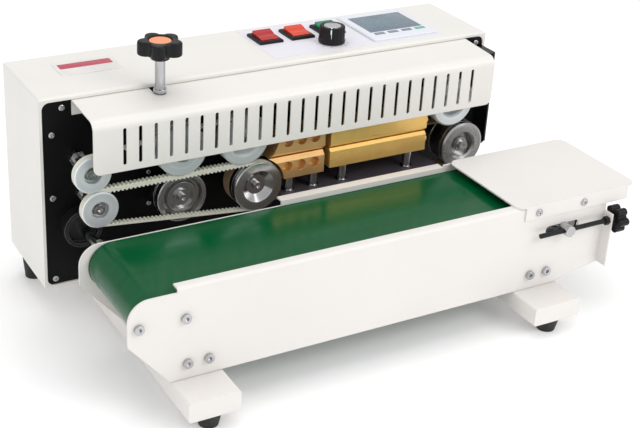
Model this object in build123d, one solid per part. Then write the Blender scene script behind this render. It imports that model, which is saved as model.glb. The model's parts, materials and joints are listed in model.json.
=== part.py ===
from build123d import *
from math import acos, atan2, cos, hypot, pi, radians, sin, sqrt, tan
import os

# Continuous band sealer, millimetres.
# Working frame: X runs right from the housing's left side, Y runs back from the housing's
# front face, Z runs up from the surface the machine stands on. save() moves every node so
# that the origin is the middle of the footprint.

# --- housing ---------------------------------------------------------------------------
HOUSING_L = 610.0
HOUSING_D = 126.0
HOUSING_Z0 = 42.0
HOUSING_Z1 = 282.0
SHEET = 2.0
RIM_SIDE = 3.5
RIM_TOP = 5.0
OPENING_R = 9.0
PLATE_Y0 = 2.0
PLATE_Y1 = 5.0
COVER_Y0 = 122.0
COVER_Y1 = 124.0

# --- sealing line and wheels -------------------------------------------------------------
SEAL_Z = 183.0
FILM_HALF = 0.15
BELT_T = 0.4
GUIDE_T = 3.8
GUIDE_BACK = 2.2
GUIDE_PITCH = 5.08
CLEAR = 0.35
GUIDE_R = 22.25
PRESS_R = 32.0
RIGHT_R = 31.0
EMBOSS_R = 31.5
EMBOSS_HUB = 40.5
GUIDE_LOW_X = 50.5
GUIDE_UP_X = 42.5
EMBOSS_LOW_X = 157.0
EMBOSS_UP_X = 152.0
PRESS_LOW_X = 252.0
PRESS_UP_X = 232.0
RIGHT_LOW_X = 550.0
RIGHT_UP_X = 529.0
WHEEL_FRONT = -54.0
GUIDE_LANE = (-51.6, -44.8)
SEAL_LANE = (-37.7, -22.7)
GEAR_LANE = (12.0, 20.0)
CHAIN_LANE_NEAR = (24.0, 28.0)
CHAIN_LANE_FAR = (32.0, 36.0)
SHAFT_R = 5.0
AXLE_R = 6.0
RUNNING = 0.05
GEAR_TEETH = 44

GUIDE_LOW = (GUIDE_LOW_X, SEAL_Z - FILM_HALF - GUIDE_R)
GUIDE_UP = (GUIDE_UP_X, SEAL_Z + FILM_HALF + GUIDE_R)
PRESS_LOW = (PRESS_LOW_X, SEAL_Z - FILM_HALF - PRESS_R)
PRESS_UP = (PRESS_UP_X, SEAL_Z + FILM_HALF + PRESS_R)
RIGHT_LOW = (RIGHT_LOW_X, SEAL_Z - FILM_HALF - RIGHT_R)
RIGHT_UP = (RIGHT_UP_X, SEAL_Z + FILM_HALF + RIGHT_R)
EMBOSS_GAP = 1.0
EMBOSS_LOW = (EMBOSS_LOW_X, SEAL_Z - EMBOSS_GAP - EMBOSS_R)
EMBOSS_UP = (EMBOSS_UP_X, SEAL_Z + EMBOSS_GAP + EMBOSS_R)

# --- heating and cooling blocks ------------------------------------------------------------
BLOCK_Y0 = -54.0
BLOCK_Y1 = -18.0
BLOCK_GAP = 0.75
COOL_X1 = 341.5
HEAT_X0 = 349.5
HEAT_X1 = 490.0
COOL_H = 28.0
HEAT_H = 25.0
COOL_BEVEL = 5.0
HEAT_BEVEL = 3.5
COOL_HOLES = (290.5, 309.0, 327.5)
COOL_HOLE_R = 6.6
POST_R = 5.6
COOL_POSTS = (299.0, 333.0)
HEAT_POSTS = (374.5, 471.0)
POST_Y = -43.0
BRACKET_X0 = 284.0
BRACKET_X1 = 512.0
BRACKET_TOP = 133.0
HEATER_R = 4.0
HEATER_YS = (-46.5, -25.5)

# --- guard -----------------------------------------------------------------------------------
GUARD_X0 = 39.0
GUARD_X1 = 578.0
GUARD_Y = -65.4
GUARD_T = 1.5
GUARD_FALL = 3.5
GUARD_BEND = 12.0
GUARD_CORNER = 8.0
GUARD_Z0 = 210.0
GUARD_Z1 = 276.5
SLOT_COUNT = 26
SLOT_X0 = 76.0
SLOT_PITCH = 18.75
SLOT_Z0 = 217.5
SLOT_Z1 = 262.0
SLOT_W = 4.2

# --- controls on the top ---------------------------------------------------------------------
CONTROL_X = 499.0
CONTROL_Y = 68.0
CONTROL_W = 96.0
CONTROL_TOP = HOUSING_Z1 + 3.0
WINDOW = (461.0, 540.0, 45.5, 104.0)
SWITCH_XS = (327.0, 372.5, 418.0)
SWITCH_NAMES = ("power_rocker", "heat_rocker", "fan_rocker")
SWITCH_Y = 82.0
ROCKER_PIVOT_Z = HOUSING_Z1 + 1.0
ROCKER_TILT = 10.0
SPEED_X = 400.0
SPEED_Y = 41.0
SPEED_R = 17.0
SPEED_TOP = 304.5
KEY_XS = (470.5, 491.0, 511.5, 532.0)
KEY_NAMES = ("set_key", "shift_key", "down_key", "up_key")
KEY_Y = 39.0
SCREW_X = 139.5
SCREW_Y = -16.0
KNOB_Z = 323.0
KNOB_H = 17.0
KNOB_TURN = 25.0

# --- conveyor ----------------------------------------------------------------------------------
FRONT_PANEL = (-238.0, -236.0)
BACK_PANEL = (-100.0, -98.0)
PANEL_X0 = 6.5
PANEL_X1 = 635.0
PANEL_Z0 = 42.6
PANEL_TOP = 155.0
BACK_STEPS = (258.0, 488.0)
BACK_LOW = 145.5
BACK_LEDGE = 152.0
ROLLER_Z = 118.0
DRIVE_X = 45.0
TAIL_X = 570.0
CONVEYOR_BELT_T = 2.0
ROLLER_R = 26.4
BELT_R = ROLLER_R + 0.3 + CONVEYOR_BELT_T
BELT_Y = (-231.0, -102.0)
TAIL_AXLE_R = 5.0
TENSION_Y = -247.0
TENSION_R = 3.0

# --- table, beams, feet ---------------------------------------------------------------------------
TABLE_X0 = 497.0
TABLE_X1 = 677.0
TABLE_Y0 = -240.0
TABLE_Y1 = -96.0
TABLE_T = 2.0
BEAM_XS = (86.5, 540.0)
BEAM_WS = (61.0, 66.0)
BEAM_Y0 = -282.0
BEAM_Y1 = 112.0
BEAM_Z0 = 18.0
BEAM_WALL = 2.0

# --- drive --------------------------------------------------------------------------------------
MOTOR_OUT = (150.0, 88.0)
CHAIN_PITCH = 6.35
MOTOR_TEETH = 12
PRESS_TEETH = 15
EMBOSS_TEETH = 15
CONVEYOR_TEETH = 14
CHAIN_HALF = 3.0

ORIGIN_X = TABLE_X1 / 2
ORIGIN_Y = (BEAM_Y0 + HOUSING_D) / 2


# --- helpers ----------------------------------------------------------------------------------

def save(name, *solids):
    """Write one node, moved from the working frame to the part's own frame."""
    shape = solids[0] if len(solids) == 1 else Compound(children=[Part(s.wrapped) for s in solids])
    export_step(Pos(-ORIGIN_X, -ORIGIN_Y, 0) * shape, f"parts/{name}.step")


def block(x0, x1, y0, y1, z0, z1):
    """Box between two corners."""
    middle = Pos((x0 + x1) / 2, (y0 + y1) / 2, (z0 + z1) / 2)
    return middle * Box(x1 - x0, y1 - y0, z1 - z0)


def rod_x(y, z, r, x0, x1):
    return Pos((x0 + x1) / 2, y, z) * Rot(0, 90, 0) * Cylinder(r, x1 - x0)


def rod_y(x, z, r, y0, y1):
    return Pos(x, (y0 + y1) / 2, z) * Rot(90, 0, 0) * Cylinder(r, y1 - y0)


def rod_z(x, y, r, z0, z1):
    return Pos(x, y, (z0 + z1) / 2) * Cylinder(r, z1 - z0)


def slab(sketch, y0, y1):
    """A sketch drawn in X and Z, given thickness from y0 to y1."""
    plane = Plane(origin=(0, y1, 0), x_dir=(1, 0, 0), z_dir=(0, -1, 0))
    return extrude(plane * sketch, y1 - y0)


def polygon(points):
    return make_face(Polyline(*points, close=True))


def slot_sketch(x0, x1, z, half):
    """Round-ended slot along X between two arc centres."""
    return Pos((x0 + x1) / 2, z) * SlotCenterToCenter(x1 - x0, 2 * half)


def loop_sketch(a, b, ra, rb):
    """Outline of a band pulled tight round two circles."""
    circles = Sketch() + [Pos(*a) * Circle(ra), Pos(*b) * Circle(rb)]
    return make_hull(circles.edges())


def band(a, b, ra, rb, thick, y0, y1):
    """Endless band of one thickness; ra and rb are its outer radii."""
    outer = loop_sketch(a, b, ra, rb)
    return slab(outer - loop_sketch(a, b, ra - thick, rb - thick), y0, y1)


def loop_station(a, b, ra, rb, s):
    """Point and outward normal at distance s along the band round two circles."""
    dx, dz = b[0] - a[0], b[1] - a[1]
    reach = hypot(dx, dz)
    heading = atan2(dz, dx)
    spread = acos((ra - rb) / reach)
    straight = sqrt(reach**2 - (ra - rb) ** 2)
    arc_b, arc_a = 2 * spread * rb, 2 * (pi - spread) * ra
    if s < straight:
        t, normal = s / straight, heading + spread
        radius = ra + (rb - ra) * t
        centre = (a[0] + dx * t, a[1] + dz * t)
    elif s < straight + arc_b:
        normal, radius, centre = heading + spread - (s - straight) / rb, rb, b
    elif s < 2 * straight + arc_b:
        t, normal = (s - straight - arc_b) / straight, heading - spread
        radius = rb + (ra - rb) * t
        centre = (b[0] - dx * t, b[1] - dz * t)
    else:
        rest = s - 2 * straight - arc_b
        normal, radius, centre = heading - spread - rest / ra, ra, a
    point = (centre[0] + radius * cos(normal), centre[1] + radius * sin(normal))
    return point, normal, 2 * straight + arc_a + arc_b


def toothed_band(a, b, ra, rb, y0, y1):
    """Endless guide belt with trapezoidal teeth on its inside."""
    base_a, base_b = ra - GUIDE_BACK, rb - GUIDE_BACK
    length = loop_station(a, b, base_a, base_b, 0.0)[2]
    count = round(length / GUIDE_PITCH)
    pitch = length / count
    depth = GUIDE_T - GUIDE_BACK
    corners = ((-0.32, 0.0), (-0.17, depth), (0.17, depth), (0.32, 0.0))
    points = []
    for i in range(count):
        for along, drop in corners:
            s = (i + 0.5 + along) * pitch
            (x, z), normal, _ = loop_station(a, b, base_a, base_b, s)
            points.append((x - drop * cos(normal), z - drop * sin(normal)))
    return slab(loop_sketch(a, b, ra, rb) - polygon(points), y0, y1)


def gear(centre, pitch_r, tooth_angle, y0, y1, bore):
    """Spur gear about a Y axis with one tooth centred on tooth_angle (radians in XZ)."""
    addendum, dedendum, half = 1.1, 1.6, 0.9
    slope = tan(radians(20))
    rings = ((pitch_r - dedendum, half + dedendum * slope), (pitch_r + addendum, half - addendum * slope))
    points = []
    for i in range(GEAR_TEETH):
        mid = tooth_angle + 2 * pi * i / GEAR_TEETH
        flank = [(r, -w) for r, w in rings] + [(r, w) for r, w in reversed(rings)]
        for r, w in flank:
            points.append((centre[0] + r * cos(mid + w / r), centre[1] + r * sin(mid + w / r)))
    return slab(polygon(points) - Pos(*centre) * Circle(bore), y0, y1)


def gear_pair(low, up):
    """Pitch radius and the two tooth angles that put a pair of equal gears in mesh."""
    dx, dz = up[0] - low[0], up[1] - low[1]
    line = atan2(dz, dx)
    return hypot(dx, dz) / 2, line, line + pi + pi / GEAR_TEETH


def sprocket_r(teeth):
    return CHAIN_PITCH / (2 * sin(pi / teeth))


def sprocket(centre, teeth, lane, bore):
    """Sprocket inside its chain, with a hub."""
    rim = rod_y(*centre, sprocket_r(teeth) - CHAIN_HALF - CLEAR, *lane)
    return rim - rod_y(*centre, bore, lane[0] - 1, lane[1] + 1)


def chain(a, teeth_a, b, teeth_b, lane):
    outer_a, outer_b = sprocket_r(teeth_a) + CHAIN_HALF, sprocket_r(teeth_b) + CHAIN_HALF
    return band(a, b, outer_a, outer_b, 2 * CHAIN_HALF, *lane)


def cap_screw(centre, y0, head_r=5.2, height=5.5):
    """Socket-head screw whose head starts at y0 and stands forward."""
    head = rod_y(*centre, head_r, y0 - height, y0)
    hexagon = slab(Pos(*centre) * RegularPolygon(head_r * 0.48, 6), y0 - height, y0 - height + 2.6)
    return head - hexagon


def pan_screw(x, z, y0, r=4.0, height=2.6, facing=-1):
    """Cross-head screw lying on a face at y0; facing is the way its head points along Y."""
    tip = y0 + facing * height
    head = rod_y(x, z, r, min(y0, tip), max(y0, tip))
    rims = head.edges().filter_by(GeomType.CIRCLE).sort_by(Axis.Y)
    head = fillet(rims[0 if facing < 0 else -1], height * 0.6)
    cut0, cut1 = sorted((tip, tip - facing * 1.2))
    cross = block(x - r * 0.55, x + r * 0.55, cut0, cut1, z - 0.5, z + 0.5)
    cross += block(x - 0.5, x + 0.5, cut0, cut1, z - r * 0.55, z + r * 0.55)
    return head - cross


# --- housing ----------------------------------------------------------------------------------

def housing_shell():
    shell = block(0, HOUSING_L, 0, HOUSING_D, HOUSING_Z0, HOUSING_Z1)
    bends = shell.edges().filter_by(Axis.Y).group_by(Axis.Z)[-1]
    bends += shell.edges().filter_by(Axis.X).group_by(Axis.Z)[-1].sort_by(Axis.Y)[:1]
    shell = fillet(bends, 3)
    inside = block(SHEET, HOUSING_L - SHEET, SHEET, HOUSING_D + 1, HOUSING_Z0 - 1, HOUSING_Z1 - SHEET)
    bends = inside.edges().filter_by(Axis.Y).group_by(Axis.Z)[-1]
    bends += inside.edges().filter_by(Axis.X).group_by(Axis.Z)[-1].sort_by(Axis.Y)[:1]
    shell -= fillet(bends, 1)
    width = HOUSING_L - 2 * RIM_SIDE
    height = HOUSING_Z1 - RIM_TOP - (HOUSING_Z0 + SHEET)
    opening = Pos(HOUSING_L / 2, HOUSING_Z0 + SHEET + height / 2) * RectangleRounded(width, height, OPENING_R)
    shell -= slab(opening, -1, SHEET + 0.5)
    half = CONTROL_W / 2 - 2
    shell -= block(CONTROL_X - half, CONTROL_X + half, CONTROL_Y - half, CONTROL_Y + half, 270, 290)
    for x in SWITCH_XS:
        shell -= block(x - 14.8, x + 14.8, SWITCH_Y - 16.8, SWITCH_Y + 16.8, 270, 290)
    shell -= rod_z(SPEED_X, SPEED_Y, 5, 270, 290)
    return shell


def base_plate():
    plate = block(2.3, HOUSING_L - 2.3, PLATE_Y0, PLATE_Y1, HOUSING_Z0 + 2.3, HOUSING_Z1 - 3.2)
    plate = fillet(plate.edges().filter_by(Axis.Y), 2)
    for centre in (PRESS_LOW, PRESS_UP, EMBOSS_LOW, EMBOSS_UP):
        plate -= rod_y(*centre, 11, 0, 8)
    for centre in (GUIDE_LOW, GUIDE_UP, RIGHT_LOW, RIGHT_UP):
        plate -= rod_y(*centre, AXLE_R, 0, 8)
    plate -= rod_y(DRIVE_X, ROLLER_Z, 16, 0, 8)
    return plate


def bottom_plate():
    plate = block(2.3, HOUSING_L - 2.3, PLATE_Y1 + 0.2, COVER_Y0 - 0.2, HOUSING_Z0, HOUSING_Z0 + SHEET)
    for i in range(12):
        x = 215 + 20 * i
        plate -= block(x, x + 5, 40, 90, HOUSING_Z0 - 1, HOUSING_Z0 + 3)
    return plate


def rear_cover():
    cover = block(2.3, HOUSING_L - 2.3, COVER_Y0, COVER_Y1, HOUSING_Z0 + 0.3, HOUSING_Z1 - 2.3)
    cover = fillet(cover.edges().filter_by(Axis.Y), 2)
    for row in range(8):
        z = 92 + 9 * row
        for x in (180, 330):
            cover -= slab(slot_sketch(x, x + 90, z, 1.6), COVER_Y0 - 1, COVER_Y1 + 1)
    cover -= block(72.5, 99.5, COVER_Y0 - 1, COVER_Y1 + 1, 70, 90)
    return cover


def guard_cover():
    """Bent sheet: nearly flat top, round bend, slotted front face and a flange on the plate."""
    bend_z = GUARD_Z1 - GUARD_FALL
    outer = [(PLATE_Y0, GUARD_Z1), (GUARD_Y, bend_z), (GUARD_Y, GUARD_Z0)]
    inner = [(GUARD_Y + GUARD_T, GUARD_Z0), (GUARD_Y + GUARD_T, bend_z - GUARD_T)]
    inner += [(PLATE_Y0 - GUARD_T, GUARD_Z1 - GUARD_T), (PLATE_Y0 - GUARD_T, 258), (PLATE_Y0, 258)]
    profile = polygon(outer + inner)
    for step in (0, GUARD_T):
        corner = profile.vertices().sort_by_distance((GUARD_Y + step, bend_z - step))[0]
        profile = fillet(corner, GUARD_BEND - step)
    sheet = Pos(GUARD_X0, 0, 0) * extrude(Plane.YZ * profile, GUARD_X1 - GUARD_X0)
    for x, side in ((GUARD_X0, 1), (GUARD_X1, -1)):
        near, far = sorted((x, x + side * GUARD_CORNER))
        square = block(near, far, GUARD_Y - 1, GUARD_Y + GUARD_T + 1, GUARD_Z0, GUARD_Z0 + GUARD_CORNER)
        centre = (x + side * GUARD_CORNER, GUARD_Z0 + GUARD_CORNER)
        sheet -= square - rod_y(*centre, GUARD_CORNER, GUARD_Y - 2, GUARD_Y + GUARD_T + 2)
    for i in range(SLOT_COUNT):
        x = SLOT_X0 + i * SLOT_PITCH
        slot = Pos(x, (SLOT_Z0 + SLOT_Z1) / 2) * SlotOverall(SLOT_Z1 - SLOT_Z0, SLOT_W, rotation=90)
        sheet -= slab(slot, GUARD_Y - 1, GUARD_Y + GUARD_T + 1)
    sheet -= rod_z(SCREW_X, SCREW_Y, 7, 260, 290)
    return sheet - block(SCREW_X - 7, SCREW_X + 7, SCREW_Y, PLATE_Y0 + 1, 266, 290)


def end_bracket():
    """Black bracket at the right-hand end: foot, forward leaf and a tab under the guard's top."""
    leaf = [(PLATE_Y0, 132), (-22, 132), (-29, 139), (-29, 264), (PLATE_Y0, 264)]
    shape = Pos(604.2, 0, 0) * extrude(Plane.YZ * polygon(leaf), SHEET)
    shape += block(586, 604.2, PLATE_Y0 - SHEET, PLATE_Y0, 132, 250)
    shape += block(560, 604.2, -29, -3, 262, 264)
    return shape


# --- wheels -------------------------------------------------------------------------------------

def cone_y(centre, front_r, back_r, y0, y1):
    """Tapered plug about a Y axis, front_r wide at y0 and back_r wide at y1."""
    return Pos(centre[0], (y0 + y1) / 2, centre[1]) * Rot(90, 0, 0) * Cone(back_r, front_r, y1 - y0)


def guide_pulley(centre):
    rim = GUIDE_R - GUIDE_T - CLEAR
    wheel = rod_y(*centre, GUIDE_R - 0.05, WHEEL_FRONT, GUIDE_LANE[0] - 0.5)
    wheel = chamfer(wheel.edges().filter_by(GeomType.CIRCLE).sort_by(Axis.Y)[0], 1.2)
    wheel += rod_y(*centre, rim, GUIDE_LANE[0] - 0.5, GUIDE_LANE[1] + 0.5)
    wheel += rod_y(*centre, GUIDE_R - 2, GUIDE_LANE[1] + 0.5, GUIDE_LANE[1] + 3)
    wheel += rod_y(*centre, 10, GUIDE_LANE[1] + 3, -30)
    wheel -= rod_y(*centre, 10.5, WHEEL_FRONT - 1, -46)
    return wheel - rod_y(*centre, AXLE_R + RUNNING, -60, 0)


def press_wheel(centre):
    guide_rim = PRESS_R - GUIDE_T - CLEAR
    seal_rim = PRESS_R - BELT_T - CLEAR
    wheel = rod_y(*centre, PRESS_R - 0.15, WHEEL_FRONT, GUIDE_LANE[0] - 0.5)
    wheel = chamfer(wheel.edges().filter_by(GeomType.CIRCLE).sort_by(Axis.Y)[0], 1.2)
    wheel += rod_y(*centre, guide_rim, GUIDE_LANE[0] - 0.5, GUIDE_LANE[1] + 0.5)
    wheel += rod_y(*centre, PRESS_R - 0.15, GUIDE_LANE[1] + 0.5, SEAL_LANE[0] - 0.5)
    wheel += rod_y(*centre, seal_rim, SEAL_LANE[0] - 0.5, SEAL_LANE[1] + 0.5)
    wheel += rod_y(*centre, PRESS_R - 0.15, SEAL_LANE[1] + 0.5, SEAL_LANE[1] + 2)
    wheel -= cone_y(centre, 20.5, 12.5, WHEEL_FRONT - 0.01, -46.5)
    return wheel - rod_y(*centre, SHAFT_R, -60, 0)


def emboss_wheel(centre):
    """Coding wheel: grooved rim, and a face stepped down in rings to its hub."""
    wheel = rod_y(*centre, EMBOSS_R, -42.5, -22)
    wheel = fillet(wheel.edges().filter_by(GeomType.CIRCLE).sort_by(Axis.Y)[0], 2)
    wheel -= rod_y(*centre, EMBOSS_R + 1, -33.5, -29.5) - rod_y(*centre, EMBOSS_R - 2, -34, -29)
    wheel -= cone_y(centre, 26, 23.5, -42.51, -37)
    wheel += cone_y(centre, 19, 21, -41.5, -37)
    wheel -= rod_y(*centre, 14.5, -43, -38)
    wheel += rod_y(*centre, 9.5, -EMBOSS_HUB, -38)
    return wheel - rod_y(*centre, SHAFT_R, -60, 0)


def emboss_flange(centre):
    """Front flange of the upper coding wheel, on a collar that passes inside the guide belt."""
    shape = rod_y(*centre, EMBOSS_R - 0.5, WHEEL_FRONT, GUIDE_LANE[0] - 0.5)
    shape = chamfer(shape.edges().filter_by(GeomType.CIRCLE).sort_by(Axis.Y)[0], 1)
    shape += rod_y(*centre, 18, GUIDE_LANE[0] - 0.5, -41.5)
    return shape - rod_y(*centre, 14, WHEEL_FRONT - 1, -41)


def seal_pulley(centre):
    seal_rim = RIGHT_R - BELT_T - CLEAR
    wheel = rod_y(*centre, RIGHT_R - 0.15, WHEEL_FRONT, SEAL_LANE[0] - 0.5)
    wheel = chamfer(wheel.edges().filter_by(GeomType.CIRCLE).sort_by(Axis.Y)[0], 2)
    wheel -= rod_y(*centre, RIGHT_R + 1, -49, -46) - rod_y(*centre, RIGHT_R - 3, -50, -45)
    wheel += rod_y(*centre, seal_rim, SEAL_LANE[0] - 0.5, SEAL_LANE[1] + 0.5)
    wheel += rod_y(*centre, RIGHT_R - 0.15, SEAL_LANE[1] + 0.5, SEAL_LANE[1] + 2)
    wheel -= cone_y(centre, 19, 16.5, WHEEL_FRONT - 0.01, -51.5)
    wheel -= rod_y(*centre, 16.5, -51.6, -43.5) - rod_y(*centre, 10, -49.5, -43)
    return wheel - rod_y(*centre, AXLE_R + RUNNING, -60, 0)


def driven_shaft(centre, front, pitch_r, tooth_angle, chain_teeth):
    """Shaft solids: the shaft with its screw, its gear and any sprockets."""
    shaft = rod_y(*centre, SHAFT_R, front, CHAIN_LANE_FAR[1] + 2)
    screw = cap_screw(centre, front)
    solids = [shaft, screw, gear(centre, pitch_r, tooth_angle, *GEAR_LANE, SHAFT_R)]
    for teeth, lane in chain_teeth:
        solids.append(sprocket(centre, teeth, lane, SHAFT_R))
    return solids


def bearing(centre):
    """Flanged bush in the base plate."""
    bush = rod_y(*centre, 14, PLATE_Y0 - 5, PLATE_Y0) + rod_y(*centre, 11, PLATE_Y0, PLATE_Y1 + 3)
    return bush - rod_y(*centre, SHAFT_R + RUNNING, -10, 12)


def drive_housing():
    """Round housing that carries the conveyor's drive shaft, with a stepped mouth."""
    ring = rod_y(DRIVE_X, ROLLER_Z, 23.4, -13, PLATE_Y0) + rod_y(DRIVE_X, ROLLER_Z, 16, PLATE_Y0, 9)
    ring -= rod_y(DRIVE_X, ROLLER_Z, 19, -14, -6)
    return ring - rod_y(DRIVE_X, ROLLER_Z, AXLE_R + RUNNING, -20, 12)


def idler_axle(centre, front):
    """Fixed stub axle: hex boss on the base plate, washer and screw in front."""
    axle = rod_y(*centre, AXLE_R, front, PLATE_Y1 + 7)
    axle += slab(Pos(*centre) * RegularPolygon(10, 6), -7, PLATE_Y0)
    axle += slab(Pos(*centre) * RegularPolygon(9, 6), PLATE_Y1, PLATE_Y1 + 5)
    washer = rod_y(*centre, 8.5, front - 1.2, front)
    return [axle, washer, cap_screw(centre, front - 1.2, head_r=6.2, height=4.6)]


# --- blocks -------------------------------------------------------------------------------------

def cooling_block(side):
    """side is -1 for the lower block and +1 for the upper one."""
    near, far = SEAL_Z + side * BLOCK_GAP, SEAL_Z + side * (BLOCK_GAP + COOL_H)
    wheel = PRESS_LOW if side < 0 else PRESS_UP
    shape = block(wheel[0], COOL_X1, BLOCK_Y0, BLOCK_Y1, min(near, far), max(near, far))
    shape = bevelled(shape, near, COOL_BEVEL)
    shape -= rod_y(*wheel, PRESS_R + (2.6 if side < 0 else 14.5), BLOCK_Y0 - 1, BLOCK_Y1 + 1)
    hole_z = SEAL_Z + (-13 if side < 0 else 19.5)
    for x in COOL_HOLES:
        shape -= rod_y(x, hole_z, COOL_HOLE_R, BLOCK_Y0 - 1, BLOCK_Y0 + 9)
    return shape


def heating_block(side):
    near, far = SEAL_Z + side * BLOCK_GAP, SEAL_Z + side * (BLOCK_GAP + HEAT_H)
    shape = block(HEAT_X0, HEAT_X1, BLOCK_Y0, BLOCK_Y1, min(near, far), max(near, far))
    shape = bevelled(shape, near, HEAT_BEVEL)
    for y in HEATER_YS:
        shape -= rod_x(y, SEAL_Z + side * 13, HEATER_R, HEAT_X0 + 11, HEAT_X1 + 1)
    return shape


def bevelled(shape, near, size):
    """Bevel the front edge beside the sealing line."""
    edge = shape.edges().filter_by(Axis.X).sort_by_distance((300, BLOCK_Y0, near))[0]
    return chamfer(edge, size)


def heaters(side):
    z = SEAL_Z + side * 13
    return [rod_x(y, z, HEATER_R, HEAT_X0 + 12, HEAT_X1 + 4) for y in HEATER_YS]


def with_post_bores(shape, posts, bottom):
    for x in posts:
        shape -= rod_z(x, POST_Y, POST_R + RUNNING, bottom - 1, bottom + 8)
    return shape


def block_bracket():
    shape = block(BRACKET_X0, BRACKET_X1, BLOCK_Y0, PLATE_Y0, BRACKET_TOP - 3, BRACKET_TOP)
    shape += block(BRACKET_X0, BRACKET_X1, PLATE_Y0 - 3, PLATE_Y0, 108, BRACKET_TOP - 3)
    return shape


def guide_posts():
    low_cool = SEAL_Z - BLOCK_GAP - COOL_H
    low_heat = SEAL_Z - BLOCK_GAP - HEAT_H
    posts = []
    for xs, bottom in ((COOL_POSTS, low_cool), (HEAT_POSTS, low_heat)):
        for x in xs:
            post = rod_z(x, POST_Y, POST_R, BRACKET_TOP, bottom + 5.5)
            posts.append(post + rod_z(x, POST_Y, POST_R + 1.6, BRACKET_TOP, BRACKET_TOP + 2))
    return posts


def block_standoffs():
    z = SEAL_Z + 18
    return [rod_y(x, z, 5, BLOCK_Y1, PLATE_Y0) for x in (290, 330, 372, 470)]


# --- pressure screw -----------------------------------------------------------------------------

def pressure_bracket():
    """Shelf on the base plate that the pressure screw turns in."""
    shape = block(118, 161, -27, PLATE_Y0, 253.5, 256.5)
    shape += block(118, 161, PLATE_Y0 - 3, PLATE_Y0, 247, 256.5)
    shape += rod_z(SCREW_X, SCREW_Y, 9, 256.5, 262)
    return shape - rod_z(SCREW_X, SCREW_Y, AXLE_R + RUNNING, 240, 270)


def pressure_knob():
    """Five-lobed knob with a cap let into its top."""
    body = Circle(19.5)
    for i in range(5):
        body += Rot(0, 0, KNOB_TURN + 72 * i) * Pos(18, 0) * Circle(8.5)
    knob = extrude(Pos(SCREW_X, SCREW_Y, KNOB_Z) * body, KNOB_H)
    knob = fillet(knob.faces().sort_by(Axis.Z)[-1].edges(), 2.5)
    knob += rod_z(SCREW_X, SCREW_Y, 11, KNOB_Z - 6, KNOB_Z)
    knob -= rod_z(SCREW_X, SCREW_Y, AXLE_R, KNOB_Z - 7, KNOB_Z + 11)
    knob -= rod_z(SCREW_X, SCREW_Y, 13.5, KNOB_Z + 13, KNOB_Z + KNOB_H + 1)
    cap = rod_z(SCREW_X, SCREW_Y, 13.5, KNOB_Z + 13, KNOB_Z + KNOB_H - 0.8)
    cap = fillet(cap.edges().filter_by(GeomType.CIRCLE).sort_by(Axis.Z)[-1], 1)
    return [knob, cap]


def pressure_screw():
    """Screw with an end collar under its shelf and a lock nut above the guard."""
    screw = rod_z(SCREW_X, SCREW_Y, AXLE_R, 251, KNOB_Z + 11)
    screw += rod_z(SCREW_X, SCREW_Y, 8.5, 248, 251)
    nut = extrude(Pos(SCREW_X, SCREW_Y, 277.4) * RegularPolygon(8.6, 6), 3.4)
    return [screw, nut - rod_z(SCREW_X, SCREW_Y, AXLE_R, 270, 290)]


# --- controls ------------------------------------------------------------------------------------

def controller_case():
    half = CONTROL_W / 2
    x, y = CONTROL_X, CONTROL_Y
    bezel = block(x - half, x + half, y - half, y + half, HOUSING_Z1, CONTROL_TOP)
    bezel = fillet(bezel.edges().filter_by(Axis.Z), 3)
    bezel = chamfer(bezel.faces().sort_by(Axis.Z)[-1].edges(), 1.2)
    body = block(x - half + 2.5, x + half - 2.5, y - half + 2.5, y + half - 2.5, 212, HOUSING_Z1)
    case = bezel + body
    case -= block(*WINDOW, CONTROL_TOP - 1.2, CONTROL_TOP + 1)
    for kx in KEY_XS:
        case -= block(kx - 7.4, kx + 7.4, KEY_Y - 3.4, KEY_Y + 3.4, CONTROL_TOP - 4, CONTROL_TOP + 1)
    return case


def controller_window():
    return block(*WINDOW, CONTROL_TOP - 1.2, CONTROL_TOP - 0.2)


def key(x):
    cap = block(x - 7, x + 7, KEY_Y - 3, KEY_Y + 3, CONTROL_TOP - 3.2, CONTROL_TOP + 0.8)
    return fillet(cap.faces().sort_by(Axis.Z)[-1].edges(), 0.8)


def switch_body(x):
    top = HOUSING_Z1 + 4
    shape = block(x - 16.5, x + 16.5, SWITCH_Y - 18.5, SWITCH_Y + 18.5, HOUSING_Z1, top)
    shape = chamfer(shape.faces().sort_by(Axis.Z)[-1].edges(), 1.2)
    shape += block(x - 14.5, x + 14.5, SWITCH_Y - 16.5, SWITCH_Y + 16.5, 258, HOUSING_Z1)
    return shape - block(x - 13, x + 13, SWITCH_Y - 15, SWITCH_Y + 15, 272, top + 1)


def rocker(x):
    """Rocker cap on its pivot pin, resting with its front edge down."""
    dish = Pos(0, 0, 26) * Rot(0, 90, 0) * Cylinder(20.6, 40)
    cap = Box(24.6, 26, 12) - dish
    pin = Rot(0, 90, 0) * Cylinder(1.5, 25.4)
    return Pos(x, SWITCH_Y, ROCKER_PIVOT_Z) * Rot(ROCKER_TILT, 0, 0) * (cap + pin)


def speed_knob():
    """Fluted knob on a plain skirt, with its stem down to the control below."""
    foot = HOUSING_Z1 + 1.5
    knob = rod_z(SPEED_X, SPEED_Y, SPEED_R - 0.8, foot, SPEED_TOP)
    knob = fillet(knob.edges().filter_by(GeomType.CIRCLE).sort_by(Axis.Z)[-1], 1.2)
    for i in range(18):
        angle = radians(20 * i)
        x, y = SPEED_X + SPEED_R * cos(angle), SPEED_Y + SPEED_R * sin(angle)
        knob -= rod_z(x, y, 1.5, foot + 4, SPEED_TOP + 1)
    knob += rod_z(SPEED_X, SPEED_Y, SPEED_R, foot, foot + 3.5)
    return knob + rod_z(SPEED_X, SPEED_Y, 3, 266, foot)


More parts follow.
